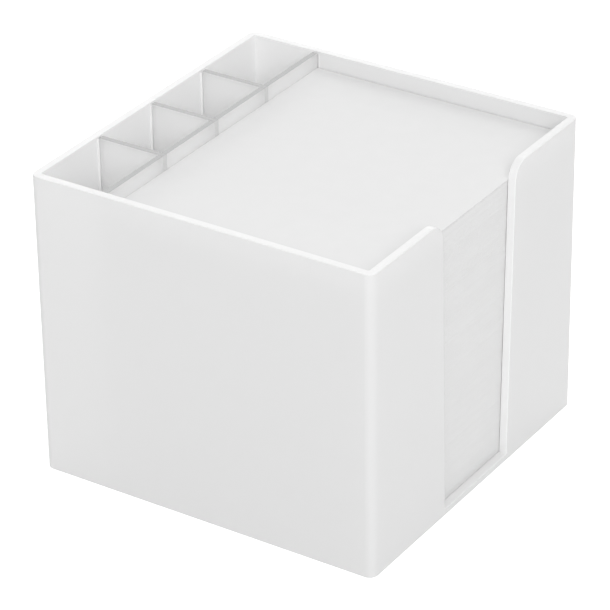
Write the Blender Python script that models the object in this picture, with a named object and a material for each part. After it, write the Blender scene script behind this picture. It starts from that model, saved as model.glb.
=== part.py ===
"""Memo box: a white moulded box with frosted divider plates and a stack of loose paper.

Metres, +Z up. The origin is the middle of the underside. The front, with the paper slot, faces -Y,
and the pen strip runs along X at the back.
"""

import math

import bmesh
import bpy
from mathutils import Vector

# Box body
OUTER_WIDTH = 0.100
OUTER_DEPTH = 0.100
OUTER_HEIGHT = 0.085
WALL = 0.0022
FLOOR = 0.0018
OUTER_CORNER_RADIUS = 0.0025
INNER_CORNER_RADIUS = 0.0010

# Paper slot in the front wall: its jambs lean together towards the sill, which is the floor's top
SLOT_TOP_WIDTH = 0.0352
SLOT_SILL_WIDTH = 0.0310
SLOT_CORNER_RADIUS = 0.0050

# Divider plates
PLATE_THICKNESS = 0.0015
PLATE_BELOW_RIM = 0.0003
PEN_STRIP_DEPTH = 0.0185
CROSS_PITCH = 0.0230
CROSS_COUNT = 3
LAP_HEIGHT = 0.0400

# Upright guide ribs inside the walls, a pair for each plate end
RIB_WIDTH = 0.0008
RIB_REACH = 0.0008
RIB_NOSE_RADIUS = 0.0003
RIB_BELOW_PLATE = 0.0010

# Paper
PAPER_BELOW_RIM = 0.0046
PAPER_PLAY = 0.0004
SHEET_THICKNESS = 0.0002
SHEET_GAP = 0.0002
LOOSE_SHEETS = 3

# Gap that pieces keep where they touch, and how far a cut runs past what it cuts
GAP = 0.0003
OVERRUN = 0.0020

# Counts of flats on round corners
OUTER_CORNER_FLAT_COUNT = 8
INNER_CORNER_FLAT_COUNT = 4
RIB_NOSE_FLAT_COUNT = 2
SLOT_CORNER_FLAT_COUNT = 10

# Places that follow from the sizes above
INNER_WIDTH = OUTER_WIDTH - 2 * WALL
INNER_DEPTH = OUTER_DEPTH - 2 * WALL
FRONT_FACE_Y = -OUTER_DEPTH / 2
INNER_FRONT_Y = -INNER_DEPTH / 2
INNER_BACK_Y = INNER_DEPTH / 2
LONG_BACK_Y = INNER_BACK_Y - PEN_STRIP_DEPTH
LONG_FRONT_Y = LONG_BACK_Y - PLATE_THICKNESS
LONG_MIDDLE_Y = (LONG_BACK_Y + LONG_FRONT_Y) / 2
PLATE_FOOT_Z = FLOOR + GAP
PLATE_TOP_Z = OUTER_HEIGHT - PLATE_BELOW_RIM
LAP_Z = PLATE_TOP_Z - LAP_HEIGHT
PAPER_FOOT_Z = FLOOR + GAP
PAPER_TOP_Z = OUTER_HEIGHT - PAPER_BELOW_RIM
PAPER_WIDTH = INNER_WIDTH - 2 * (RIB_REACH + PAPER_PLAY)
PAPER_DEPTH = LONG_FRONT_Y - INNER_FRONT_Y - 2 * PAPER_PLAY
PAPER_MIDDLE_Y = (LONG_FRONT_Y + INNER_FRONT_Y) / 2
SHEET_STEP = SHEET_THICKNESS + SHEET_GAP
CROSS_PLACES = [(index - (CROSS_COUNT - 1) / 2) * CROSS_PITCH for index in range(CROSS_COUNT)]


def clear_scene():
    for existing in list(bpy.data.objects):
        bpy.data.objects.remove(existing, do_unlink=True)


def new_collection(name):
    collection = bpy.data.collections.new(name)
    bpy.context.scene.collection.children.link(collection)
    return collection


def material(name, colour, roughness, transmission=0.0, ior=1.5):
    made = bpy.data.materials.new(name)
    made.use_nodes = True
    shader = made.node_tree.nodes["Principled BSDF"]
    shader.inputs["Base Color"].default_value = (*colour, 1.0)
    shader.inputs["Roughness"].default_value = roughness
    shader.inputs["Metallic"].default_value = 0.0
    shader.inputs["IOR"].default_value = ior
    shader.inputs["Transmission Weight"].default_value = transmission
    return made


def add_block(form, low, high, radius=0.0, flats=1):
    """Adds a block between two corners to a bmesh, with its upright edges rounded."""
    low, high = Vector(low), Vector(high)
    cube = bmesh.ops.create_cube(form, size=1.0)["verts"]
    bmesh.ops.scale(form, vec=high - low, verts=cube)
    bmesh.ops.translate(form, vec=(low + high) / 2, verts=cube)
    if radius > 0:
        upright = [edge for edge in form.edges if edge.verts[0] in cube and is_upright(edge)]
        bmesh.ops.bevel(form, geom=upright, offset=radius, segments=flats, profile=0.5, affect="EDGES")


def is_upright(edge):
    along = (edge.verts[1].co - edge.verts[0].co).normalized()
    return abs(along.z) > math.cos(math.radians(1))


def add_object(name, form, collection, look=None):
    """Turns a bmesh into an object whose origin is the middle of its underside."""
    mesh = bpy.data.meshes.new(name)
    form.to_mesh(mesh)
    form.free()
    foot = foot_of(mesh)
    for vert in mesh.vertices:
        vert.co -= foot
    made = bpy.data.objects.new(name, mesh)
    made.location = foot
    collection.objects.link(made)
    if look is not None:
        mesh.materials.append(look)
    return made


def foot_of(mesh):
    lows = [min(vert.co[axis] for vert in mesh.vertices) for axis in range(3)]
    highs = [max(vert.co[axis] for vert in mesh.vertices) for axis in range(3)]
    return Vector(((lows[0] + highs[0]) / 2, (lows[1] + highs[1]) / 2, lows[2]))


def block_object(name, low, high, collection, look=None, radius=0.0, flats=1):
    form = bmesh.new()
    add_block(form, low, high, radius, flats)
    return add_object(name, form, collection, look)


def combine(target, tool, operation):
    """Cuts a tool out of a piece or joins it on, and keeps the tool out of the render."""
    tool.hide_render = True
    tool.display_type = "WIRE"
    step = target.modifiers.new(f"{operation.lower()} {tool.name}", "BOOLEAN")
    step.operation = operation
    step.solver = "EXACT"
    step.object = tool


def carry(child, parent):
    """Parents a piece to what carries it, and leaves it where it is."""
    bpy.context.view_layer.update()
    child.parent = parent
    child.location = child.location - parent.matrix_world.translation


def slot_outline():
    """The paper slot seen from the front, as (x, z): leaning jambs with a round shoulder at the rim."""
    half_top = SLOT_TOP_WIDTH / 2
    half_sill = SLOT_SILL_WIDTH / 2
    lean = math.atan2(half_top - half_sill, OUTER_HEIGHT - FLOOR)
    tangent_length = SLOT_CORNER_RADIUS / math.tan((math.pi / 2 + lean) / 2)
    centre_x = half_top + tangent_length
    centre_z = OUTER_HEIGHT - SLOT_CORNER_RADIUS
    first, last = math.pi - lean, math.pi / 2
    right = [(half_sill, FLOOR)]
    for step in range(SLOT_CORNER_FLAT_COUNT + 1):
        angle = first + (last - first) * step / SLOT_CORNER_FLAT_COUNT
        x = centre_x + SLOT_CORNER_RADIUS * math.cos(angle)
        z = centre_z + SLOT_CORNER_RADIUS * math.sin(angle)
        right.append((x, z))
    right.append((centre_x, OUTER_HEIGHT + OVERRUN))
    left = [(-x, z) for x, z in reversed(right)]
    return right + left


def slot_cutter(collection):
    """The slot's outline as a filled curve, as thick as the front wall with an overrun on each side."""
    outline = slot_outline()
    curve = bpy.data.curves.new("slot_outline", "CURVE")
    curve.dimensions = "2D"
    curve.fill_mode = "BOTH"
    curve.extrude = WALL / 2 + OVERRUN
    spline = curve.splines.new("POLY")
    spline.points.add(len(outline) - 1)
    for point, (x, z) in zip(spline.points, outline):
        point.co = (x, z, 0.0, 1.0)
    spline.use_cyclic_u = True
    drawn = bpy.data.objects.new("slot_outline", curve)
    drawn.rotation_euler = (math.pi / 2, 0.0, 0.0)
    drawn.location = (0.0, FRONT_FACE_Y + WALL / 2, 0.0)
    collection.objects.link(drawn)
    return mesh_from_curve("slot_cutter", drawn, collection)


def mesh_from_curve(name, drawn, collection):
    """A curve object as a closed mesh object in the same place."""
    bpy.context.view_layer.update()
    evaluated = drawn.evaluated_get(bpy.context.evaluated_depsgraph_get())
    mesh = bpy.data.meshes.new_from_object(evaluated)
    form = bmesh.new()
    form.from_mesh(mesh)
    bmesh.ops.remove_doubles(form, verts=form.verts, dist=GAP / 100)
    form.to_mesh(mesh)
    form.free()
    made = bpy.data.objects.new(name, mesh)
    made.matrix_world = drawn.matrix_world
    collection.objects.link(made)
    bpy.data.objects.remove(drawn, do_unlink=True)
    return made


def rib_blocks():
    """Low and high corners of every guide rib: a pair beside each plate end, rooted in wall and floor."""
    root_z = FLOOR / 2
    top_z = PLATE_TOP_Z - RIB_BELOW_PLATE
    root = WALL / 2
    near = PLATE_THICKNESS / 2 + GAP
    far = near + RIB_WIDTH
    blocks = []
    for side in (-1, 1):
        for place_x in CROSS_PLACES:
            x_ends = sorted((place_x + side * near, place_x + side * far))
            low = (x_ends[0], INNER_BACK_Y - RIB_REACH, root_z)
            high = (x_ends[1], INNER_BACK_Y + root, top_z)
            blocks.append((low, high))
        y_ends = sorted((LONG_MIDDLE_Y + side * near, LONG_MIDDLE_Y + side * far))
        for wall_side in (-1, 1):
            nose_x = wall_side * (INNER_WIDTH / 2 - RIB_REACH)
            root_x = wall_side * (INNER_WIDTH / 2 + root)
            x_ends = sorted((nose_x, root_x))
            low = (x_ends[0], y_ends[0], root_z)
            high = (x_ends[1], y_ends[1], top_z)
            blocks.append((low, high))
    return blocks


def box_body(parts, cutters, look):
    low = (-OUTER_WIDTH / 2, -OUTER_DEPTH / 2, 0.0)
    high = (OUTER_WIDTH / 2, OUTER_DEPTH / 2, OUTER_HEIGHT)
    body = block_object("box_body", low, high, parts, look, OUTER_CORNER_RADIUS, OUTER_CORNER_FLAT_COUNT)

    low = (-INNER_WIDTH / 2, -INNER_DEPTH / 2, FLOOR)
    high = (INNER_WIDTH / 2, INNER_DEPTH / 2, OUTER_HEIGHT + OVERRUN)
    cavity = block_object("cavity", low, high, cutters, None, INNER_CORNER_RADIUS, INNER_CORNER_FLAT_COUNT)
    combine(body, cavity, "DIFFERENCE")
    combine(body, slot_cutter(cutters), "DIFFERENCE")

    form = bmesh.new()
    for low, high in rib_blocks():
        add_block(form, low, high, RIB_NOSE_RADIUS, RIB_NOSE_FLAT_COUNT)
    combine(body, add_object("guide_ribs", form, cutters), "UNION")


def long_divider(parts, cutters, look):
    """The plate across the box, slotted from its top edge where the cross dividers enter it."""
    half_length = INNER_WIDTH / 2 - GAP
    low = (-half_length, LONG_FRONT_Y, PLATE_FOOT_Z)
    high = (half_length, LONG_BACK_Y, PLATE_TOP_Z)
    plate = block_object("long_divider", low, high, parts, look)

    half_slot = PLATE_THICKNESS / 2 + GAP
    form = bmesh.new()
    for place_x in CROSS_PLACES:
        low = (place_x - half_slot, LONG_FRONT_Y - OVERRUN, LAP_Z - GAP)
        high = (place_x + half_slot, LONG_BACK_Y + OVERRUN, PLATE_TOP_Z + OVERRUN)
        add_block(form, low, high)
    combine(plate, add_object("lap_slots", form, cutters), "DIFFERENCE")
    return plate


def cross_divider(index, place_x, parts, cutters, look):
    """A plate from the long divider to the back wall, with a tongue that fills the long divider's slot."""
    half_plate = PLATE_THICKNESS / 2
    low = (place_x - half_plate, LONG_FRONT_Y, PLATE_FOOT_Z)
    high = (place_x + half_plate, INNER_BACK_Y - GAP, PLATE_TOP_Z)
    plate = block_object(f"cross_divider_{index}", low, high, parts, look)

    low = (place_x - half_plate - OVERRUN, LONG_FRONT_Y - OVERRUN, PLATE_FOOT_Z - OVERRUN)
    high = (place_x + half_plate + OVERRUN, LONG_BACK_Y + GAP, LAP_Z)
    notch = block_object(f"tongue_notch_{index}", low, high, cutters)
    combine(plate, notch, "DIFFERENCE")
    return plate


def paper_block(name, foot_z, top_z, parts, look):
    low = (-PAPER_WIDTH / 2, PAPER_MIDDLE_Y - PAPER_DEPTH / 2, foot_z)
    high = (PAPER_WIDTH / 2, PAPER_MIDDLE_Y + PAPER_DEPTH / 2, top_z)
    return block_object(name, low, high, parts, look)


def paper(parts, look):
    """The stack as one block, and the loose sheets on it, each carried by the one below."""
    stack_top_z = PAPER_TOP_Z - LOOSE_SHEETS * SHEET_STEP
    below = paper_block("paper_stack", PAPER_FOOT_Z, stack_top_z, parts, look)
    for index in range(1, LOOSE_SHEETS + 1):
        top_z = stack_top_z + index * SHEET_STEP
        sheet = paper_block(f"memo_sheet_{index}", top_z - SHEET_THICKNESS, top_z, parts, look)
        carry(sheet, below)
        below = sheet


def main():
    clear_scene()
    parts = new_collection("memo_box")
    cutters = new_collection("cutters")
    white = material("white_polystyrene", (0.80, 0.80, 0.79), 0.35)
    frosted = material("frosted_polystyrene", (0.90, 0.91, 0.91), 0.45, transmission=0.5, ior=1.59)
    sheet_white = material("white_paper", (0.86, 0.86, 0.85), 0.85)

    box_body(parts, cutters, white)
    long_plate = long_divider(parts, cutters, frosted)
    for index, place_x in enumerate(CROSS_PLACES, start=1):
        carry(cross_divider(index, place_x, parts, cutters, frosted), long_plate)
    paper(parts, sheet_white)


main()
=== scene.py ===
"""Memo box: a white moulded box, frosted lift-out plates and loose note paper, dressed and lit in a studio.

Metres, +Z up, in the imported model's own frame. The wall with the paper slot faces -Y, and the pen strip
runs along X at the back.
"""

import math
from contextlib import contextmanager

import bmesh
import bpy
import numpy as np
from mathutils import Matrix, Vector


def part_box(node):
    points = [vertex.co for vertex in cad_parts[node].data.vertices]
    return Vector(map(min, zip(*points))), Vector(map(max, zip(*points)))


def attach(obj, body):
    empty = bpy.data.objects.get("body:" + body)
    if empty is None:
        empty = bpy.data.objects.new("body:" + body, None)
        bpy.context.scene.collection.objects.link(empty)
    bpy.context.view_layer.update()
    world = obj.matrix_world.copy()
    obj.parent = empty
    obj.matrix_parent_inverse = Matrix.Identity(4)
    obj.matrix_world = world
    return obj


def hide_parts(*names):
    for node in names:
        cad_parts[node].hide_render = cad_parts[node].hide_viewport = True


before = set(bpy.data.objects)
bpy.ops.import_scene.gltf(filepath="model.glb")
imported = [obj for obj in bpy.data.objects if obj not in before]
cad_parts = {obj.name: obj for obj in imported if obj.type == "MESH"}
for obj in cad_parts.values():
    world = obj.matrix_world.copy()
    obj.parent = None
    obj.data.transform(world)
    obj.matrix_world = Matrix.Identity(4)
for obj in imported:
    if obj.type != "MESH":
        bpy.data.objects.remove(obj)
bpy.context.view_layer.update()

bl_info = {
    "name": "Memo box",
    "version": (1, 0, 0),
    "blender": (4, 5, 0),
    "location": "3D View > Sidebar > Memo box",
    "description": "Makes a memo box's shell, plates and note paper, and the studio round them",
    "category": "Object",
}

MM = 0.001

# Places that the frame gives
BOX_LOW, BOX_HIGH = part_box("box_body")
LONG_LOW, LONG_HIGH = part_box("long_divider")
CROSS_NODES = ["cross_divider_1", "cross_divider_2", "cross_divider_3"]
STACK_LOW, STACK_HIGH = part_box("paper_stack")
SHEET_NODES = ["memo_sheet_1", "memo_sheet_2", "memo_sheet_3"]
SHEETS_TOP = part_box(SHEET_NODES[-1])[1].z
PLATE_THICKNESS = LONG_HIGH.y - LONG_LOW.y
LONG_MIDDLE_Y = (LONG_LOW.y + LONG_HIGH.y) / 2
RIM_Z = BOX_HIGH.z

# How far a cutter runs past what it cuts
OVERRUN = 2 * MM

# How far off a place an edge or a face may be and still count as there, from the finest to the widest
MERGED = 0.001 * MM
THERE = 0.01 * MM
ON_SKIN = 0.05 * MM
BESIDE = 0.1 * MM
NEARBY = 1 * MM

# Shares of a direction that point along one axis: square on to it, mostly, at a slant and halfway
SQUARE_ON_SHARE = 0.99
MOSTLY_SHARE = 0.9
SLANTED_SHARE = 0.7
HALFWAY_SHARE = 0.5

# Flats on each round corner or edge
OUTER_CORNER_FLATS = 12
INNER_CORNER_FLATS = 8
FILLET_FLATS = 4
SHOULDER_FLATS = 14
EDGE_FLATS = 4
BEAD_FLATS = 4

# Angles between two faces, in degrees: from where an edge is sharp, and up to where shading is smooth
SHARP_EDGE = 30
SMOOTH_SHELL = 35
SMOOTH_SHEET = 30

# Radius of a bead's nose, as a share of its width
BEAD_NOSE_SHARE = 0.4

# The block's sheets: the seed of their draws, the count over which the lean changes, and the shade's range
SHEET_SEED = 11
LEAN_SHEETS = 41
SHEET_SHADE_SHARE = 0.02

# The loose sheets: cuts along each side, and waves over the sheet with where they start, in radians
LOOSE_CUTS = 23
WAVES_ACROSS = 1.1
WAVES_ALONG = 0.65
START_ACROSS = 0.6
START_ALONG = 0.2

# A plate's finishes, in the order in which dress_plate gives them
FROSTED_FINISH, SAWN_FINISH, CUT_FINISH = range(3)

# Light bending of the materials, as index of refraction
POLYSTYRENE_IOR = 1.59
PAPER_IOR = 1.45

# How much lighter and darker the dust makes a sawn edge
DUST_SHARE = 0.04

# The studio: side length of the floor and its gap under the box, and side length and place of each softbox
FLOOR_SPAN = 8.0
FLOOR_GAP = 0.05 * MM
KEY_SPAN, KEY_PLACE = 1.2, (-1.2, -1.1, 1.3)
SIDE_SPAN, SIDE_PLACE = 1.2, (1.5, 1.3, 0.65)
TOP_SPAN, TOP_PLACE = 1.0, (1.1, 0.2, 1.6)
SOFTBOX_AIM = (0.0, 0.0, 0.05)

# The camera: width of its sensor in millimetres, and how far it sees
SENSOR_WIDTH = 36.0
VIEW_DEPTH = 20.0

# How often light is followed from face to face: in all, and between matt faces
MOST_BOUNCES = 24
MATT_BOUNCES = 16

# Colours, as sRGB hex values
# Painted shade: the outer skin's white is darker than the white round the pens
SHADED_WALL_WHITE = "#D1D1D1"
# Painted light: the skin and beads round the pens are whiter than the outer skin
LIT_INNER_WHITE = "#FCFCFC"
# Painted shade: the skin round the paper is a darker white than the skin round the pens
SHADED_BAY_WHITE = "#EBEBEB"
# Painted highlight: rim and slot are whiter than the outer skin
RIM_HIGHLIGHT_WHITE = "#E6E6E6"
SLOT_HIGHLIGHT_WHITE = "#EAEAEA"
FROST_WHITE = "#FBFBFB"
# Painted shade: the long plate's face by the paper is greyer than the other frosted faces
SHADED_BAY_FROST_WHITE = "#F6F6F6"
# Painted shade: the sawn top edges are grey for the dark that shows where light goes into the plate
SHADED_TOP_GREY = "#AFAFAF"
# Painted shade: the upright ends are a lighter grey than the tops, for the same look into the plate
SHADED_END_GREY = "#CACACA"
SHEET_WHITE = "#DADADA"
# Painted shade: the block's cut sides are greyer than the flat of a sheet
SHADED_SIDE_WHITE = "#CBCBCB"
FLOOR_WHITE = "#F8F8F8"
WORLD_WHITE = "#FFFFFF"


def linear(code):
    """An sRGB hex value as linear red, green, blue, by the curve of the sRGB standard."""
    parts = [int(code[place:place + 2], 16) / 255 for place in (1, 3, 5)]
    return tuple(part / 12.92 if part <= 0.04045 else ((part + 0.055) / 1.055) ** 2.4 for part in parts)


def length(name, description, default):
    """A setting that holds a length."""
    return bpy.props.FloatProperty(name=name, description=description, default=default, unit="LENGTH")


def share(name, description, default):
    """A setting that holds a share of the light."""
    return bpy.props.FloatProperty(
        name=name, description=description, default=default, subtype="FACTOR", min=0.0, max=1.0
    )


def power(name, description, default):
    """A setting that holds a lamp's power."""
    return bpy.props.FloatProperty(name=name, description=description, default=default, unit="POWER")


def colour(name, description, code):
    """A setting that holds a colour, given as a hex value."""
    return bpy.props.FloatVectorProperty(
        name=name, description=description, default=linear(code), subtype="COLOR", min=0.0, max=1.0
    )


class ShellSizes(bpy.types.PropertyGroup):
    wall: length("Wall", "Thickness of the four walls", 2.2 * MM)
    floor: length("Floor", "Thickness of the floor", 1.8 * MM)
    outer_radius: length("Outer corner", "Radius of the upright outer corners", 2.5 * MM)
    inner_radius: length("Inner corner", "Radius of the upright inner corners", 0.4 * MM)
    floor_fillet: length("Floor fillet", "Radius where the walls meet the floor inside", 0.2 * MM)
    edge_radius: length("Edge", "Radius on the outer edges of rim, slot and foot", 0.22 * MM)
    inner_edge: length("Inner edge", "Radius on the inner edges of rim and slot", 0.1 * MM)
    slot_top: length("Slot at the rim", "Width of the slot at the rim, before its shoulders", 35.2 * MM)
    slot_sill: length("Slot at the sill", "Width of the slot at the floor", 31.0 * MM)
    shoulder_radius: length("Slot shoulder", "Radius where the slot runs out into the rim", 5.0 * MM)
    bead_width: length("Bead width", "Width of the upright beads that hold the plates", 0.5 * MM)
    bead_reach: length("Bead reach", "How far the back wall's beads stand off it", 0.45 * MM)
    side_reach: length("Side reach", "How far the side walls' beads stand off them", 0.15 * MM)
    bead_drop: length("Bead drop", "How far the beads end below the plates", 0.3 * MM)
    bead_play: length("Bead play", "Gap between a bead and its plate", 0.03 * MM)


class PlateSizes(bpy.types.PropertyGroup):
    slot_play: length("Slot play", "Gap beside a tongue in the long plate's slot", 0.04 * MM)
    tongue_height: length("Tongue height", "Height of the tongues, which is the slots' depth", 40.0 * MM)
    broken_edge: length("Broken edge", "Width of the small flats along the sawn edges", 0.08 * MM)


class PaperSizes(bpy.types.PropertyGroup):
    side_play: length("Side play", "Gap between the block and the side walls", 0.3 * MM)
    end_play: length("End play", "Gap between the block and front wall or plate", 0.13 * MM)
    floor_play: length("Floor play", "Gap between the lowest sheet and the floor", 0.1 * MM)
    sheet_pitch: length("Sheet pitch", "Height that each drawn sheet of the block takes", 0.20 * MM)
    sheet_gap: length("Sheet gap", "Air between two sheets", 0.005 * MM)
    shuffle: length("Shuffle", "How far single sheets lie out of line", 0.02 * MM)
    drift: length("Drift", "How far the block leans in and out over its height", 0.05 * MM)
    loose_thickness: length("Loose sheet", "Thickness of a loose sheet", 0.12 * MM)
    loose_gap: length("Loose gap", "Air under a loose sheet", 0.04 * MM)
    loose_side: length("Loose side play", "Gap between a loose sheet and the side walls", 0.2 * MM)
    loose_end: length("Loose end play", "Gap between a loose sheet and front wall or plate", 0.07 * MM)
    loose_wave: length("Loose wave", "How far a loose sheet is out of flat", 0.05 * MM)


class Finishes(bpy.types.PropertyGroup):
    # Painted shade on the outer skin, and painted light on the skin and beads round the pens
    shaded_wall_white: colour("Wall white", "Colour of the walls' outer skin", SHADED_WALL_WHITE)
    lit_inner_white: colour("Inner white", "Colour of the skin and beads round the pens", LIT_INNER_WHITE)
    # Painted shade: the skin round the paper is darker than the skin round the pens
    shaded_bay_white: colour("Bay white", "Colour of the inner skin round the paper", SHADED_BAY_WHITE)
    # Painted highlight: rim and slot are whiter than the outer skin
    rim_highlight_white: colour("Rim white", "Colour of the rim", RIM_HIGHLIGHT_WHITE)
    slot_highlight_white: colour("Slot white", "Colour of the slot's edges", SLOT_HIGHLIGHT_WHITE)
    outer_passes: share("Outer skin passes", "Share of light that the outer skin lets through", 0.15)
    inner_passes: share("Inner skin passes", "Share of light that the inner skin lets through", 0.2)
    edge_passes: share("Edge passes", "Share of light that rim, slot and beads let through", 0.15)
    frost_white: colour("Frosted plate", "Colour of the plates' frosted faces", FROST_WHITE)
    # Painted shade: the long plate's face by the paper is greyer than the other frosted faces
    shaded_bay_frost_white: colour("Frost by the paper", "Colour of the frosted face by the paper", SHADED_BAY_FROST_WHITE)
    frost_passes: share("Frost passes", "Share of light that a frosted face scatters as it passes", 0.4)
    frost_clear: share("Frost clear", "Share of light that goes straight through a frosted face", 0.15)
    # Painted shade: the sawn top edges are grey for the dark that shows where light goes into the plate
    shaded_top_grey: colour("Sawn top", "Colour of the plates' sawn top edges", SHADED_TOP_GREY)
    # Painted shade: the upright ends are grey, lighter than the tops
    shaded_end_grey: colour("Cut end", "Colour of the plates' upright ends", SHADED_END_GREY)
    sheet_white: colour("Sheet white", "Colour of the note paper", SHEET_WHITE)
    # Painted shade: the block's cut sides are greyer than the flat of a sheet
    shaded_side_white: colour("Cut white", "Colour of the block's cut sides, where light sinks in", SHADED_SIDE_WHITE)


class StageSettings(bpy.types.PropertyGroup):
    floor_white: colour("Floor white", "Colour of the floor", FLOOR_WHITE)
    floor_glow: bpy.props.FloatProperty(
        name="Floor glow", description="Light that the lit floor gives by itself", default=0.3
    )
    world_white: colour("World white", "Colour of the light from all round", WORLD_WHITE)
    world_strength: bpy.props.FloatProperty(
        name="World strength", description="Strength of the light from all round", default=0.66
    )
    key_power: power("Key light", "Power of the softbox by the camera", 23.5)
    side_power: power("Side light", "Power of the softbox that puts a sheen on the rims", 13.0)
    top_power: power("Top light", "Power of the softbox above the right wall", 5.9)
    lens: bpy.props.FloatProperty(
        name="Lens", description="Focal length of the camera, in millimetres", default=198.5, unit="CAMERA"
    )
    camera_place: bpy.props.FloatVectorProperty(
        name="Camera place", description="Where the camera stands", subtype="TRANSLATION",
        default=(-632.55 * MM, -413.74 * MM, 462.71 * MM),
    )
    camera_turn: bpy.props.FloatVectorProperty(
        name="Camera turn", description="Turn from +Y towards +X, tilt down and roll of the camera",
        subtype="EULER", default=(math.radians(56.709), math.radians(29.279), math.radians(0.810)),
    )


def deselect_all():
    for each in bpy.context.selected_objects:
        each.select_set(False)


def activate(piece):
    deselect_all()
    piece.select_set(True)
    bpy.context.view_layer.objects.active = piece


@contextmanager
def editing(piece):
    """Edit mode on one piece, with nothing of it selected."""
    activate(piece)
    bpy.ops.object.mode_set(mode="EDIT")
    bpy.ops.mesh.select_mode(type="EDGE")
    bpy.ops.mesh.select_all(action="DESELECT")
    yield
    bpy.ops.object.mode_set(mode="OBJECT")


def select(piece, kind, wanted):
    """Selects those of a piece's edges or faces for which wanted(part) holds."""
    form = bmesh.from_edit_mesh(piece.data)
    bpy.ops.mesh.select_all(action="DESELECT")
    chosen = [part for part in getattr(form, kind) if wanted(part)]
    if not chosen:
        raise RuntimeError(f"{piece.name} has none of the {kind} that are looked for")
    for part in chosen:
        part.select_set(True)
    bmesh.update_edit_mesh(piece.data)


def is_upright(edge):
    along = edge.verts[1].co - edge.verts[0].co
    return abs(along.z) > MOSTLY_SHARE * along.length


def is_sharp(edge):
    return len(edge.link_faces) == 2 and edge.calc_face_angle(0.0) > math.radians(SHARP_EDGE)


def middle(edge):
    return (edge.verts[0].co + edge.verts[1].co) / 2


def middle_x(node):
    low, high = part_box(node)
    return (low.x + high.x) / 2


def block(name, low, high):
    """A box between two corners, with its place in its mesh."""
    deselect_all()
    low, high = Vector(low), Vector(high)
    bpy.ops.mesh.primitive_cube_add(size=1, location=(low + high) / 2, scale=high - low)
    piece = bpy.context.active_object
    piece.name = piece.data.name = name
    bpy.ops.object.transform_apply(location=True, rotation=True, scale=True)
    return piece


def round_edges(piece, wanted, radius, flats):
    """Rounds the edges for which wanted(edge) holds."""
    with editing(piece):
        select(piece, "edges", wanted)
        bpy.ops.mesh.bevel(offset=radius, segments=flats, profile=0.5, affect="EDGES")


def apply_modifier(piece, kind, **settings):
    step = piece.modifiers.new(kind.lower(), kind)
    for name, value in settings.items():
        setattr(step, name, value)
    activate(piece)
    bpy.ops.object.modifier_apply(modifier=step.name)


def combine(piece, tool, operation):
    """Cuts a tool out of a piece, or joins it on, and removes the tool."""
    apply_modifier(piece, "BOOLEAN", operation=operation, solver="EXACT", object=tool)
    bpy.data.objects.remove(tool, do_unlink=True)


def paint_faces(piece, name, kind, value_of):
    """Keeps a number or a colour for each face, which a material can read."""
    attribute = piece.data.attributes.new(name, kind, "FACE")
    for item, face in zip(attribute.data, piece.data.polygons):
        if kind == "FLOAT":
            item.value = value_of(face)
        else:
            item.color = (*value_of(face), 1.0)


def add_node(tree, kind, inputs=None, **settings):
    """Adds a node with its settings, and gives each named input a value or a link."""
    node = tree.nodes.new(kind)
    for name, value in settings.items():
        setattr(node, name, value)
    for name, value in (inputs or {}).items():
        if isinstance(value, bpy.types.NodeSocket):
            tree.links.new(value, node.inputs[name])
        else:
            node.inputs[name].default_value = value
    return node


def new_material(name):
    made = bpy.data.materials.new(name)
    made.use_nodes = True
    made.node_tree.nodes.clear()
    return made, made.node_tree


def finish_material(tree, shader):
    add_node(tree, "ShaderNodeOutputMaterial", {"Surface": shader})


def moulded_polystyrene(finishes):
    """White polystyrene, moulded against a satin tool: an even soft gloss with a faint orange peel.

    Light passes through its thin walls, which brightens the compartments inside. Each skin also has its
    own white: painted shade makes the outer skin darker, painted light makes the skin and beads round the
    pens whiter, the skin round the paper takes a white in between, and rim and slot carry a painted
    highlight.
    """
    made, tree = new_material("white_polystyrene_moulded")
    place = add_node(tree, "ShaderNodeTexCoord").outputs["Object"]
    # The peel is about 1.5 mm from crest to crest, and 2 thousandths of a millimetre deep
    peel = add_node(tree, "ShaderNodeTexNoise", {"Vector": place, "Scale": 1 / (1.5 * MM), "Detail": 2.0})
    bump = add_node(
        tree, "ShaderNodeBump", {"Height": peel.outputs["Fac"], "Strength": 0.5, "Distance": 0.004 * MM}
    )
    # Patches of about 20 mm where the tool was polished a little more or less
    patches = add_node(tree, "ShaderNodeTexNoise", {"Vector": place, "Scale": 1 / (20 * MM), "Detail": 3.0})
    roughness = add_node(
        tree, "ShaderNodeMapRange", {"Value": patches.outputs["Fac"], "To Min": 0.42, "To Max": 0.55}
    )
    # Each skin of the shell has its own white, painted lighter or darker as painted light and shade,
    # and lets its own share of the light through
    base = add_node(tree, "ShaderNodeAttribute", attribute_name="skin_colour")
    shader = add_node(
        tree, "ShaderNodeBsdfPrincipled",
        {
            "Base Color": base.outputs["Color"],
            "Roughness": roughness.outputs["Result"],
            "IOR": POLYSTYRENE_IOR,
            "Normal": bump.outputs["Normal"],
        },
    )
    passing = add_node(
        tree, "ShaderNodeBsdfTranslucent",
        {"Color": (*finishes.lit_inner_white, 1.0), "Normal": bump.outputs["Normal"]},
    )
    passes = add_node(tree, "ShaderNodeAttribute", attribute_name="skin_passes")
    both = add_node(
        tree, "ShaderNodeMixShader",
        {0: passes.outputs["Fac"], 1: shader.outputs["BSDF"], 2: passing.outputs["BSDF"]},
    )
    finish_material(tree, both.outputs["Shader"])
    return made


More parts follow.
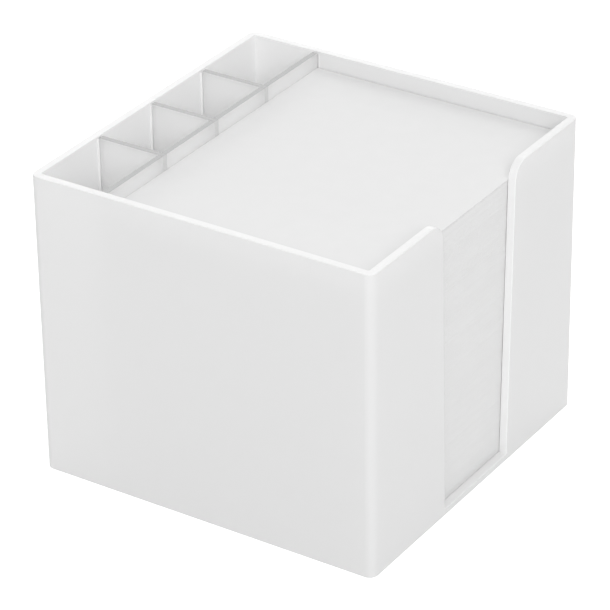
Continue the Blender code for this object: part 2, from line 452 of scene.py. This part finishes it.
def frosted_polystyrene(finishes):
    """Clear polystyrene sheet, frosted on both faces: matt and milky, so light but no shapes come through.

    The long plate's face towards the paper is painted a shade greyer: painted shade.
    """
    made, tree = new_material("clear_polystyrene_frosted")
    place = add_node(tree, "ShaderNodeTexCoord").outputs["Object"]
    # The etched grain is far finer, and drawn 0.6 mm from crest to crest to show at all
    grain = add_node(tree, "ShaderNodeTexNoise", {"Vector": place, "Scale": 1 / (0.6 * MM), "Detail": 3.0})
    bump = add_node(
        tree, "ShaderNodeBump", {"Height": grain.outputs["Fac"], "Strength": 0.4, "Distance": 0.006 * MM}
    )
    # Rolled sheet takes the frost a little unevenly, in patches of about 15 mm
    patches = add_node(tree, "ShaderNodeTexNoise", {"Vector": place, "Scale": 1 / (15 * MM), "Detail": 2.0})
    roughness = add_node(
        tree, "ShaderNodeMapRange", {"Value": patches.outputs["Fac"], "To Min": 0.45, "To Max": 0.6}
    )
    base = add_node(tree, "ShaderNodeAttribute", attribute_name="skin_colour")
    face = add_node(
        tree, "ShaderNodeBsdfPrincipled",
        {
            "Base Color": base.outputs["Color"],
            "Roughness": roughness.outputs["Result"],
            "IOR": POLYSTYRENE_IOR,
            "Normal": bump.outputs["Normal"],
        },
    )
    scattered = add_node(
        tree, "ShaderNodeBsdfTranslucent",
        {"Color": base.outputs["Color"], "Normal": bump.outputs["Normal"]},
    )
    milky = add_node(
        tree, "ShaderNodeMixShader",
        {0: finishes.frost_passes, 1: face.outputs["BSDF"], 2: scattered.outputs["BSDF"]},
    )
    straight = add_node(tree, "ShaderNodeBsdfTransparent", {"Color": (1.0, 1.0, 1.0, 1.0)})
    shader = add_node(
        tree, "ShaderNodeMixShader",
        {0: finishes.frost_clear, 1: milky.outputs["Shader"], 2: straight.outputs["BSDF"]},
    )
    finish_material(tree, shader.outputs["Shader"])
    return made


def sawn_polystyrene(name, grey):
    """Sawn edge of clear polystyrene, painted matt grey as painted shade: its light has gone into the plate.
    """
    made, tree = new_material(name)
    place = add_node(tree, "ShaderNodeTexCoord").outputs["Object"]
    # Saw marks are some hundredths of a millimetre apart, and drawn 0.8 mm apart to show at all
    marks = add_node(tree, "ShaderNodeTexNoise", {"Vector": place, "Scale": 1 / (0.8 * MM), "Detail": 2.0})
    bump = add_node(
        tree, "ShaderNodeBump", {"Height": marks.outputs["Fac"], "Strength": 0.3, "Distance": 0.01 * MM}
    )
    # The marks take up a little dust, so the grey is uneven by a few hundredths
    base = add_node(
        tree, "ShaderNodeMix",
        {
            "Factor": marks.outputs["Fac"],
            "A": (*[(1 - DUST_SHARE) * part for part in grey], 1.0),
            "B": (*[(1 + DUST_SHARE) * part for part in grey], 1.0),
        },
        data_type="RGBA",
    )
    shader = add_node(
        tree, "ShaderNodeBsdfPrincipled",
        {
            "Base Color": base.outputs["Result"],
            "Roughness": 0.7,
            "IOR": POLYSTYRENE_IOR,
            "Normal": bump.outputs["Normal"],
        },
    )
    finish_material(tree, shader.outputs["BSDF"])
    return made


def sawn_top(finishes):
    """The plates' top edges: sawn, and painted dark grey against the white round them as painted shade."""
    return sawn_polystyrene("clear_polystyrene_sawn", finishes.shaded_top_grey)


def cut_end(finishes):
    """The plates' upright ends: sawn too, with a lighter painted shade, as light from the faces comes out of
    them.
    """
    return sawn_polystyrene("clear_polystyrene_cut", finishes.shaded_end_grey)


def note_paper(finishes):
    """Uncoated white note paper: matt, with a fine felt of fibres and a faint cloudiness.

    Each sheet of the block is a shade off its neighbours, which shows as fine layers on the cut sides.
    """
    made, tree = new_material("white_paper_uncoated")
    place = add_node(tree, "ShaderNodeTexCoord").outputs["Object"]
    # Fibres are about 0.03 mm wide, and drawn 0.6 mm from one to the next to show at all
    felt = add_node(tree, "ShaderNodeTexNoise", {"Vector": place, "Scale": 1 / (0.6 * MM), "Detail": 4.0})
    bump = add_node(
        tree, "ShaderNodeBump", {"Height": felt.outputs["Fac"], "Strength": 0.5, "Distance": 0.01 * MM}
    )
    # Cloudy formation of the sheet, in patches of about 5 mm
    clouds = add_node(tree, "ShaderNodeTexNoise", {"Vector": place, "Scale": 1 / (5 * MM), "Detail": 3.0})
    cloud_shade = add_node(
        tree, "ShaderNodeMapRange", {"Value": clouds.outputs["Fac"], "To Min": 0.985, "To Max": 1.015}
    )
    layer = add_node(tree, "ShaderNodeAttribute", attribute_name="sheet_shade")
    layer_shade = add_node(
        tree, "ShaderNodeMath", {0: 1.0, 1: layer.outputs["Fac"]}, operation="SUBTRACT"
    )
    both = add_node(
        tree, "ShaderNodeMath",
        {0: cloud_shade.outputs["Result"], 1: layer_shade.outputs["Value"]}, operation="MULTIPLY",
    )
    # Painted shade: faces that look up take the sheet's white and the cut sides a greyer one,
    # for the light that sinks in between the sheets
    facing = add_node(tree, "ShaderNodeNewGeometry")
    upward = add_node(tree, "ShaderNodeSeparateXYZ", {"Vector": facing.outputs["True Normal"]})
    white = add_node(
        tree, "ShaderNodeMix",
        {
            "Factor": upward.outputs["Z"],
            "A": (*finishes.shaded_side_white, 1.0),
            "B": (*finishes.sheet_white, 1.0),
        },
        data_type="RGBA",
    )
    base = add_node(
        tree, "ShaderNodeVectorMath",
        {0: white.outputs["Result"], "Scale": both.outputs["Value"]}, operation="SCALE",
    )
    shader = add_node(
        tree, "ShaderNodeBsdfPrincipled",
        {
            "Base Color": base.outputs["Vector"],
            "Roughness": 0.9,
            "IOR": PAPER_IOR,
            "Normal": bump.outputs["Normal"],
        },
    )
    finish_material(tree, shader.outputs["BSDF"])
    return made


def lit_floor(stage):
    """Opal acrylic table top, lit from below: plain white, so that the box stands on a clean ground."""
    made, tree = new_material("opal_acrylic_table")
    shader = add_node(
        tree, "ShaderNodeBsdfPrincipled",
        {
            "Base Color": (*stage.floor_white, 1.0),
            "Roughness": 0.8,
            "Emission Color": (1.0, 1.0, 1.0, 1.0),
            "Emission Strength": stage.floor_glow,
        },
    )
    finish_material(tree, shader.outputs["BSDF"])
    return made


def give_materials(piece, context, makers):
    """Gives a piece its finishes by name, each made only once."""
    finishes = context.scene.memo_box_finishes
    piece.data.materials.clear()
    for name, make in makers.items():
        piece.data.materials.append(bpy.data.materials.get(name) or make(finishes))


class MEMO_BOX_OT_shell(bpy.types.Operator):
    """Make the moulded white box with its paper slot and plate beads"""

    bl_idname = "memo_box.shell"
    bl_label = "Moulded box"

    def execute(self, context):
        sizes = context.scene.memo_box_shell
        inner_low = Vector((BOX_LOW.x + sizes.wall, BOX_LOW.y + sizes.wall, sizes.floor))
        inner_high = Vector((BOX_HIGH.x - sizes.wall, BOX_HIGH.y - sizes.wall, RIM_Z + OVERRUN))
        shell = block("box_shell", BOX_LOW, BOX_HIGH)
        round_edges(shell, is_upright, sizes.outer_radius, OUTER_CORNER_FLATS)
        combine(shell, self.cavity(sizes, inner_low, inner_high), "DIFFERENCE")
        combine(shell, self.slot_cutter(sizes), "DIFFERENCE")
        self.round_shoulders(shell, sizes)
        self.soften(shell, sizes)
        for low, high in self.bead_corners(sizes, inner_low, inner_high):
            combine(shell, self.bead(sizes, low, high), "UNION")
        self.part_off_bay(shell)
        self.paint_skins(shell, sizes, context.scene.memo_box_finishes)
        activate(shell)
        bpy.ops.object.shade_smooth_by_angle(angle=math.radians(SMOOTH_SHELL))
        apply_modifier(shell, "WEIGHTED_NORMAL", mode="FACE_AREA", keep_sharp=True)
        give_materials(shell, context, {"white_polystyrene_moulded": moulded_polystyrene})
        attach(shell, "box")
        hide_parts("box_body")
        return {"FINISHED"}

    def cavity(self, sizes, inner_low, inner_high):
        """A block as large as the inside, with round corners and a fillet round its foot."""
        cavity = block("cavity", inner_low, inner_high)
        round_edges(cavity, is_upright, sizes.inner_radius, INNER_CORNER_FLATS)
        round_edges(
            cavity, lambda edge: all(vert.co.z < inner_low.z + THERE for vert in edge.verts),
            sizes.floor_fillet, FILLET_FLATS,
        )
        return cavity

    def slot_cutter(self, sizes):
        """A block as wide as the sill, whose top is widened until its sides are the leaning jambs."""
        half_sill = sizes.slot_sill / 2
        top_z = RIM_Z + OVERRUN
        low = (-half_sill, BOX_LOW.y - OVERRUN, sizes.floor)
        high = (half_sill, BOX_LOW.y + sizes.wall + OVERRUN, top_z)
        cutter = block("slot_cutter", low, high)
        spread = (sizes.slot_top - sizes.slot_sill) * (top_z - sizes.floor) / (RIM_Z - sizes.floor)
        with editing(cutter):
            select(cutter, "faces", lambda face: face.normal.z > MOSTLY_SHARE)
            bpy.ops.transform.resize(
                value=(1 + spread / sizes.slot_sill, 1.0, 1.0), center_override=(0.0, BOX_LOW.y, top_z)
            )
        return cutter

    def round_shoulders(self, shell, sizes):
        """Rounds the two edges where the jambs run out into the rim."""
        reach = sizes.slot_top / 2

        def is_shoulder(edge):
            at = middle(edge)
            on_jamb = abs(abs(at.x) - reach) < BESIDE and at.y < BOX_LOW.y + sizes.wall
            return on_jamb and at.z > RIM_Z - THERE

        round_edges(shell, is_shoulder, sizes.shoulder_radius, SHOULDER_FLATS)

    def soften(self, shell, sizes):
        """Takes the sharpness off the rim, the slot and the foot, and less of it off their inner edges."""
        inner_y = BOX_LOW.y + sizes.wall
        inner_reach = BOX_HIGH.x - sizes.wall + THERE
        inner_share = sizes.inner_edge / sizes.edge_radius

        def is_softened(edge):
            if not is_sharp(edge):
                return False
            low_z = min(vert.co.z for vert in edge.verts)
            high_z = max(vert.co.z for vert in edge.verts)
            at = middle(edge)
            on_rim = low_z > RIM_Z - sizes.shoulder_radius - NEARBY
            on_foot = high_z < THERE
            on_slot = abs(at.x) < sizes.slot_top / 2 + NEARBY and at.y < inner_y + THERE
            return on_rim or on_foot or on_slot

        def is_inner(edge):
            return all(max(abs(vert.co.x), abs(vert.co.y)) < inner_reach for vert in edge.verts)

        with editing(shell):
            form = bmesh.from_edit_mesh(shell.data)
            weight = form.edges.layers.float.new("bevel_weight_edge")
            for edge in form.edges:
                if is_softened(edge):
                    edge[weight] = inner_share if is_inner(edge) else 1.0
            bmesh.update_edit_mesh(shell.data)
        apply_modifier(
            shell, "BEVEL", width=sizes.edge_radius, segments=EDGE_FLATS, limit_method="WEIGHT",
            use_clamp_overlap=False,
        )

    def bead_corners(self, sizes, inner_low, inner_high):
        """Low and high corners of every bead: a pair beside each plate end, rooted in wall and floor."""
        foot_z = sizes.floor / 2
        top_z = LONG_HIGH.z - sizes.bead_drop
        root = sizes.wall / 2
        near = PLATE_THICKNESS / 2 + sizes.bead_play
        far = near + sizes.bead_width
        corners = []
        for side in (-1, 1):
            for node in CROSS_NODES:
                ends = sorted((middle_x(node) + side * near, middle_x(node) + side * far))
                corners.append((
                    (ends[0], inner_high.y - sizes.bead_reach, foot_z),
                    (ends[1], inner_high.y + root, top_z),
                ))
            ends = sorted((LONG_MIDDLE_Y + side * near, LONG_MIDDLE_Y + side * far))
            corners.append((
                (inner_low.x - root, ends[0], foot_z),
                (inner_low.x + sizes.side_reach, ends[1], top_z),
            ))
            corners.append((
                (inner_high.x - sizes.side_reach, ends[0], foot_z),
                (inner_high.x + root, ends[1], top_z),
            ))
        return corners

    def bead(self, sizes, low, high):
        """One upright bead with a round nose and a round upper end."""
        made = block("bead", low, high)
        round_edges(
            made, lambda edge: is_upright(edge) or middle(edge).z > high[2] - THERE,
            sizes.bead_width * BEAD_NOSE_SHARE, BEAD_FLATS,
        )
        return made

    def part_off_bay(self, shell):
        """Cuts the faces in two where the long plate stands, so that the bay's skin takes its own painted
        shade.
        """
        with editing(shell):
            bpy.ops.mesh.select_all(action="SELECT")
            bpy.ops.mesh.bisect(
                plane_co=(0.0, LONG_MIDDLE_Y, 0.0), plane_no=(0.0, 1.0, 0.0), threshold=MERGED
            )

    def paint_skins(self, shell, sizes, finishes):
        """Gives each skin its own white, which holds painted light and shade, and its share of passing
        light.
        """
        looks = {
            "outer": (finishes.shaded_wall_white, finishes.outer_passes),
            "inner": (finishes.lit_inner_white, finishes.inner_passes),
            "bay": (finishes.shaded_bay_white, finishes.inner_passes),
            "rim": (finishes.rim_highlight_white, finishes.edge_passes),
            "slot": (finishes.slot_highlight_white, finishes.edge_passes),
            "bead": (finishes.lit_inner_white, finishes.edge_passes),
        }
        paint_faces(shell, "skin_colour", "FLOAT_COLOR", lambda face: looks[self.skin(face, sizes)][0])
        paint_faces(shell, "skin_passes", "FLOAT", lambda face: looks[self.skin(face, sizes)][1])

    def skin(self, face, sizes):
        """Which skin a face is on: slot, rim, bead, the outside, or the inside of bay or pen strip."""
        at, facing = face.center, face.normal
        inner_x = BOX_HIGH.x - sizes.wall
        inner_y = BOX_HIGH.y - sizes.wall
        in_slot = (
            abs(at.x) < sizes.slot_top / 2 + sizes.shoulder_radius
            and at.y < BESIDE - inner_y
            and abs(facing.y) < SLANTED_SHARE
        )
        on_rim = at.z > RIM_Z - sizes.shoulder_radius and facing.z > HALFWAY_SHARE
        beside_back_wall = inner_y - sizes.bead_reach - BESIDE < at.y < inner_y - ON_SKIN
        on_bead = beside_back_wall and abs(at.x) < inner_x - 2 * NEARBY and at.z > sizes.floor + NEARBY
        inside = (
            abs(at.x) < inner_x + ON_SKIN and abs(at.y) < inner_y + ON_SKIN and at.z > sizes.floor - ON_SKIN
        )
        if in_slot:
            return "slot"
        if on_rim:
            return "rim"
        if on_bead:
            return "bead"
        if not inside:
            return "outer"
        return "bay" if at.y < LONG_LOW.y else "inner"


def dress_plate(plate, context, through, edge_width):
    """Breaks a plate's edges, and gives its large faces, its top edge and its ends a finish each.

    Its large faces look along the axis named by through, and the paper side of the long plate has its own,
    greyer white: painted shade.
    """
    round_edges(plate, is_sharp, edge_width, flats=1)
    give_materials(plate, context, {
        "clear_polystyrene_frosted": frosted_polystyrene,
        "clear_polystyrene_sawn": sawn_top,
        "clear_polystyrene_cut": cut_end,
    })
    for face in plate.data.polygons:
        if abs(getattr(face.normal, through)) > SQUARE_ON_SHARE:
            face.material_index = FROSTED_FINISH
        elif face.normal.z > HALFWAY_SHARE:
            face.material_index = SAWN_FINISH
        else:
            face.material_index = CUT_FINISH
        face.use_smooth = False
    finishes = context.scene.memo_box_finishes
    # Painted shade: the long plate's face towards the paper takes the greyer frost white
    pen_white, shaded_bay_white = finishes.frost_white, finishes.shaded_bay_frost_white
    paint_faces(
        plate, "skin_colour", "FLOAT_COLOR",
        lambda face: shaded_bay_white if face.normal.y < -SQUARE_ON_SHARE else pen_white,
    )


class MEMO_BOX_OT_long_plate(bpy.types.Operator):
    """Make the frosted plate that parts the paper from the pens"""

    bl_idname = "memo_box.long_plate"
    bl_label = "Long plate"

    def execute(self, context):
        sizes = context.scene.memo_box_plates
        plate = block("long_plate_frosted", LONG_LOW, LONG_HIGH)
        half_slot = PLATE_THICKNESS / 2 + sizes.slot_play
        slot_foot_z = LONG_HIGH.z - sizes.tongue_height - sizes.slot_play
        for node in CROSS_NODES:
            cutter = block(
                "tongue_slot",
                (middle_x(node) - half_slot, LONG_LOW.y - OVERRUN, slot_foot_z),
                (middle_x(node) + half_slot, LONG_HIGH.y + OVERRUN, LONG_HIGH.z + OVERRUN),
            )
            combine(plate, cutter, "DIFFERENCE")
        dress_plate(plate, context, "y", sizes.broken_edge)
        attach(plate, "long_plate")
        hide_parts("long_divider")
        return {"FINISHED"}


class MEMO_BOX_OT_cross_plates(bpy.types.Operator):
    """Make the three frosted plates that part the pen compartments"""

    bl_idname = "memo_box.cross_plates"
    bl_label = "Cross plates"

    def execute(self, context):
        sizes = context.scene.memo_box_plates
        for index, node in enumerate(CROSS_NODES, start=1):
            low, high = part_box(node)
            plate = block(f"cross_plate_frosted_{index}", low, high)
            notch = block(
                "tongue_notch",
                (low.x - OVERRUN, low.y - OVERRUN, low.z - OVERRUN),
                (high.x + OVERRUN, LONG_HIGH.y + sizes.slot_play, high.z - sizes.tongue_height),
            )
            combine(plate, notch, "DIFFERENCE")
            dress_plate(plate, context, "x", sizes.broken_edge)
            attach(plate, f"cross_plate_{index}")
            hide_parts(node)
        return {"FINISHED"}


def paper_corners(context, side_play, end_play):
    """Low and high corner of a sheet in plan, which fills the bay but for its play."""
    wall = context.scene.memo_box_shell.wall
    reach = BOX_HIGH.x - wall - side_play
    return (-reach, BOX_LOW.y + wall + end_play), (reach, LONG_LOW.y - end_play)


def dress_paper(piece, context):
    give_materials(piece, context, {"white_paper_uncoated": note_paper})


class MEMO_BOX_OT_paper_block(bpy.types.Operator):
    """Make the block of note paper, sheet by sheet"""

    bl_idname = "memo_box.paper_block"
    bl_label = "Paper block"

    def execute(self, context):
        sizes = context.scene.memo_box_paper
        loose_step = sizes.loose_thickness + sizes.loose_gap
        low_z = context.scene.memo_box_shell.floor + sizes.floor_play
        top_z = SHEETS_TOP - len(SHEET_NODES) * loose_step - 2 * sizes.loose_wave
        count = int((top_z - low_z) / sizes.sheet_pitch)
        pitch = (top_z - low_z) / count
        low, high = paper_corners(context, sizes.side_play, sizes.end_play)
        paper = block("paper_sheets", (*low, low_z), (*high, low_z + pitch - sizes.sheet_gap))
        apply_modifier(
            paper, "ARRAY", count=count, use_relative_offset=False, use_constant_offset=True,
            constant_offset_displace=(0.0, 0.0, pitch), use_merge_vertices=False,
        )
        self.shuffle(paper, sizes, count)
        dress_paper(paper, context)
        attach(paper, "stack")
        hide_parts("paper_stack")
        return {"FINISHED"}

    def shuffle(self, piece, sizes, count):
        """Puts each sheet a little out of line, and keeps a shade for it."""
        draw = np.random.default_rng(SHEET_SEED)
        mesh = piece.data
        per_sheet = len(mesh.vertices) // count
        places = np.empty(len(mesh.vertices) * 3)
        mesh.vertices.foreach_get("co", places)
        places = places.reshape(count, per_sheet, 3)
        steps = draw.normal(0.0, 1.0, (count, 2))
        window = np.hanning(LEAN_SHEETS)
        lean = np.stack([np.convolve(steps[:, axis], window, mode="same") for axis in (0, 1)], axis=1)
        lean *= sizes.drift / np.abs(lean).max()
        single = draw.uniform(-sizes.shuffle, sizes.shuffle, (count, 2))
        places[:, :, :2] += (lean + single)[:, None, :]
        mesh.vertices.foreach_set("co", places.ravel())
        shades = np.repeat(draw.uniform(0.0, SHEET_SHADE_SHARE, count), len(mesh.polygons) // count)
        attribute = mesh.attributes.new("sheet_shade", "FLOAT", "FACE")
        attribute.data.foreach_set("value", shades)
        mesh.update()


class MEMO_BOX_OT_loose_sheets(bpy.types.Operator):
    """Make the three uppermost sheets, each on its own"""

    bl_idname = "memo_box.loose_sheets"
    bl_label = "Loose sheets"

    def execute(self, context):
        sizes = context.scene.memo_box_paper
        step = sizes.loose_thickness + sizes.loose_gap
        low, high = paper_corners(context, sizes.loose_side, sizes.loose_end)
        for index, node in enumerate(SHEET_NODES, start=1):
            top_z = SHEETS_TOP - (len(SHEET_NODES) - index) * step - sizes.loose_wave
            sheet = block(f"loose_sheet_{index}", (*low, top_z - sizes.loose_thickness), (*high, top_z))
            with editing(sheet):
                select(sheet, "edges", lambda edge: not is_upright(edge))
                bpy.ops.mesh.subdivide(number_cuts=LOOSE_CUTS)
            self.wave(sheet, sizes)
            dress_paper(sheet, context)
            activate(sheet)
            bpy.ops.object.shade_smooth_by_angle(angle=math.radians(SMOOTH_SHEET))
            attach(sheet, f"sheet_{index}")
            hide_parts(node)
        return {"FINISHED"}

    def wave(self, sheet, sizes):
        """Bends the flat sheet into the slight rise and fall that paper takes up from the air's damp."""
        for vert in sheet.data.vertices:
            across = vert.co.x / (STACK_HIGH.x - STACK_LOW.x)
            along = vert.co.y / (STACK_HIGH.y - STACK_LOW.y)
            rise = math.sin(math.tau * WAVES_ACROSS * across + START_ACROSS)
            rise *= math.cos(math.tau * WAVES_ALONG * along + START_ALONG)
            vert.co.z += sizes.loose_wave * rise


class MEMO_BOX_OT_stage(bpy.types.Operator):
    """Set up the floor, the soft light and the camera"""

    bl_idname = "memo_box.stage"
    bl_label = "Studio"

    def execute(self, context):
        stage = context.scene.memo_box_stage
        self.floor(stage)
        self.world(context.scene, stage)
        self.softbox("key_softbox", stage.key_power, KEY_SPAN, KEY_PLACE)
        self.softbox("side_softbox", stage.side_power, SIDE_SPAN, SIDE_PLACE)
        self.softbox("top_softbox", stage.top_power, TOP_SPAN, TOP_PLACE)
        self.camera(context.scene, stage)
        context.scene.view_settings.view_transform = "Standard"
        self.bounces(context.scene.cycles)
        return {"FINISHED"}

    def floor(self, stage):
        deselect_all()
        bpy.ops.mesh.primitive_plane_add(size=FLOOR_SPAN, location=(0.0, 0.0, -FLOOR_GAP))
        floor = bpy.context.active_object
        floor.name = floor.data.name = "floor"
        bpy.ops.object.transform_apply(location=True, rotation=True, scale=True)
        floor.data.materials.append(lit_floor(stage))

    def world(self, scene, stage):
        world = bpy.data.worlds.new("white_studio")
        world.use_nodes = True
        background = world.node_tree.nodes["Background"]
        background.inputs["Color"].default_value = (*stage.world_white, 1.0)
        background.inputs["Strength"].default_value = stage.world_strength
        scene.world = world

    def softbox(self, name, watts, span, place):
        deselect_all()
        bpy.ops.object.light_add(type="AREA", location=place)
        lamp = bpy.context.active_object
        lamp.name = lamp.data.name = name
        lamp.data.energy = watts
        lamp.data.size = span
        lamp.rotation_euler = (Vector(SOFTBOX_AIM) - Vector(place)).to_track_quat("-Z", "Y").to_euler()

    def bounces(self, cycles):
        """Light goes to and fro between the white walls of the deep compartments many times."""
        cycles.max_bounces = MOST_BOUNCES
        cycles.diffuse_bounces = MATT_BOUNCES
        cycles.transparent_max_bounces = MOST_BOUNCES

    def camera(self, scene, stage):
        """A long lens, at the photograph's place and angle."""
        deselect_all()
        bpy.ops.object.camera_add(location=stage.camera_place)
        camera = bpy.context.active_object
        camera.name = camera.data.name = "camera"
        camera.data.lens = stage.lens
        camera.data.sensor_width = SENSOR_WIDTH
        turn, tilt, roll = stage.camera_turn
        ahead = Vector((math.sin(turn) * math.cos(tilt), math.cos(turn) * math.cos(tilt), -math.sin(tilt)))
        level = Vector((math.cos(turn), -math.sin(turn), 0.0))
        down = ahead.cross(level)
        right = level * math.cos(roll) + down * math.sin(roll)
        up = level * math.sin(roll) - down * math.cos(roll)
        camera.rotation_euler = Matrix((right, up, -ahead)).transposed().to_euler()
        camera.data.clip_end = VIEW_DEPTH
        scene.camera = camera


PIECE_OPERATORS = (
    MEMO_BOX_OT_shell,
    MEMO_BOX_OT_long_plate,
    MEMO_BOX_OT_cross_plates,
    MEMO_BOX_OT_paper_block,
    MEMO_BOX_OT_loose_sheets,
    MEMO_BOX_OT_stage,
)

SETTINGS = {
    "memo_box_shell": ShellSizes,
    "memo_box_plates": PlateSizes,
    "memo_box_paper": PaperSizes,
    "memo_box_finishes": Finishes,
    "memo_box_stage": StageSettings,
}


class MEMO_BOX_PT_pieces(bpy.types.Panel):
    """The memo box's pieces and sizes"""

    bl_label = "Memo box"
    bl_idname = "MEMO_BOX_PT_pieces"
    bl_space_type = "VIEW_3D"
    bl_region_type = "UI"
    bl_category = "Memo box"

    def draw(self, context):
        for operator in PIECE_OPERATORS:
            self.layout.operator(operator.bl_idname)
        for name, group in SETTINGS.items():
            column = self.layout.column()
            for setting in group.__annotations__:
                column.prop(getattr(context.scene, name), setting)


def register():
    for group in SETTINGS.values():
        bpy.utils.register_class(group)
    for operator in PIECE_OPERATORS:
        bpy.utils.register_class(operator)
    bpy.utils.register_class(MEMO_BOX_PT_pieces)
    for name, group in SETTINGS.items():
        setattr(bpy.types.Scene, name, bpy.props.PointerProperty(type=group))


def unregister():
    for name in SETTINGS:
        delattr(bpy.types.Scene, name)
    bpy.utils.unregister_class(MEMO_BOX_PT_pieces)
    for operator in reversed(PIECE_OPERATORS):
        bpy.utils.unregister_class(operator)
    for group in reversed(list(SETTINGS.values())):
        bpy.utils.unregister_class(group)


def main():
    register()
    bpy.ops.memo_box.shell()
    bpy.ops.memo_box.long_plate()
    bpy.ops.memo_box.cross_plates()
    bpy.ops.memo_box.paper_block()
    bpy.ops.memo_box.loose_sheets()
    bpy.ops.memo_box.stage()


if __name__ == "__main__":
    main()
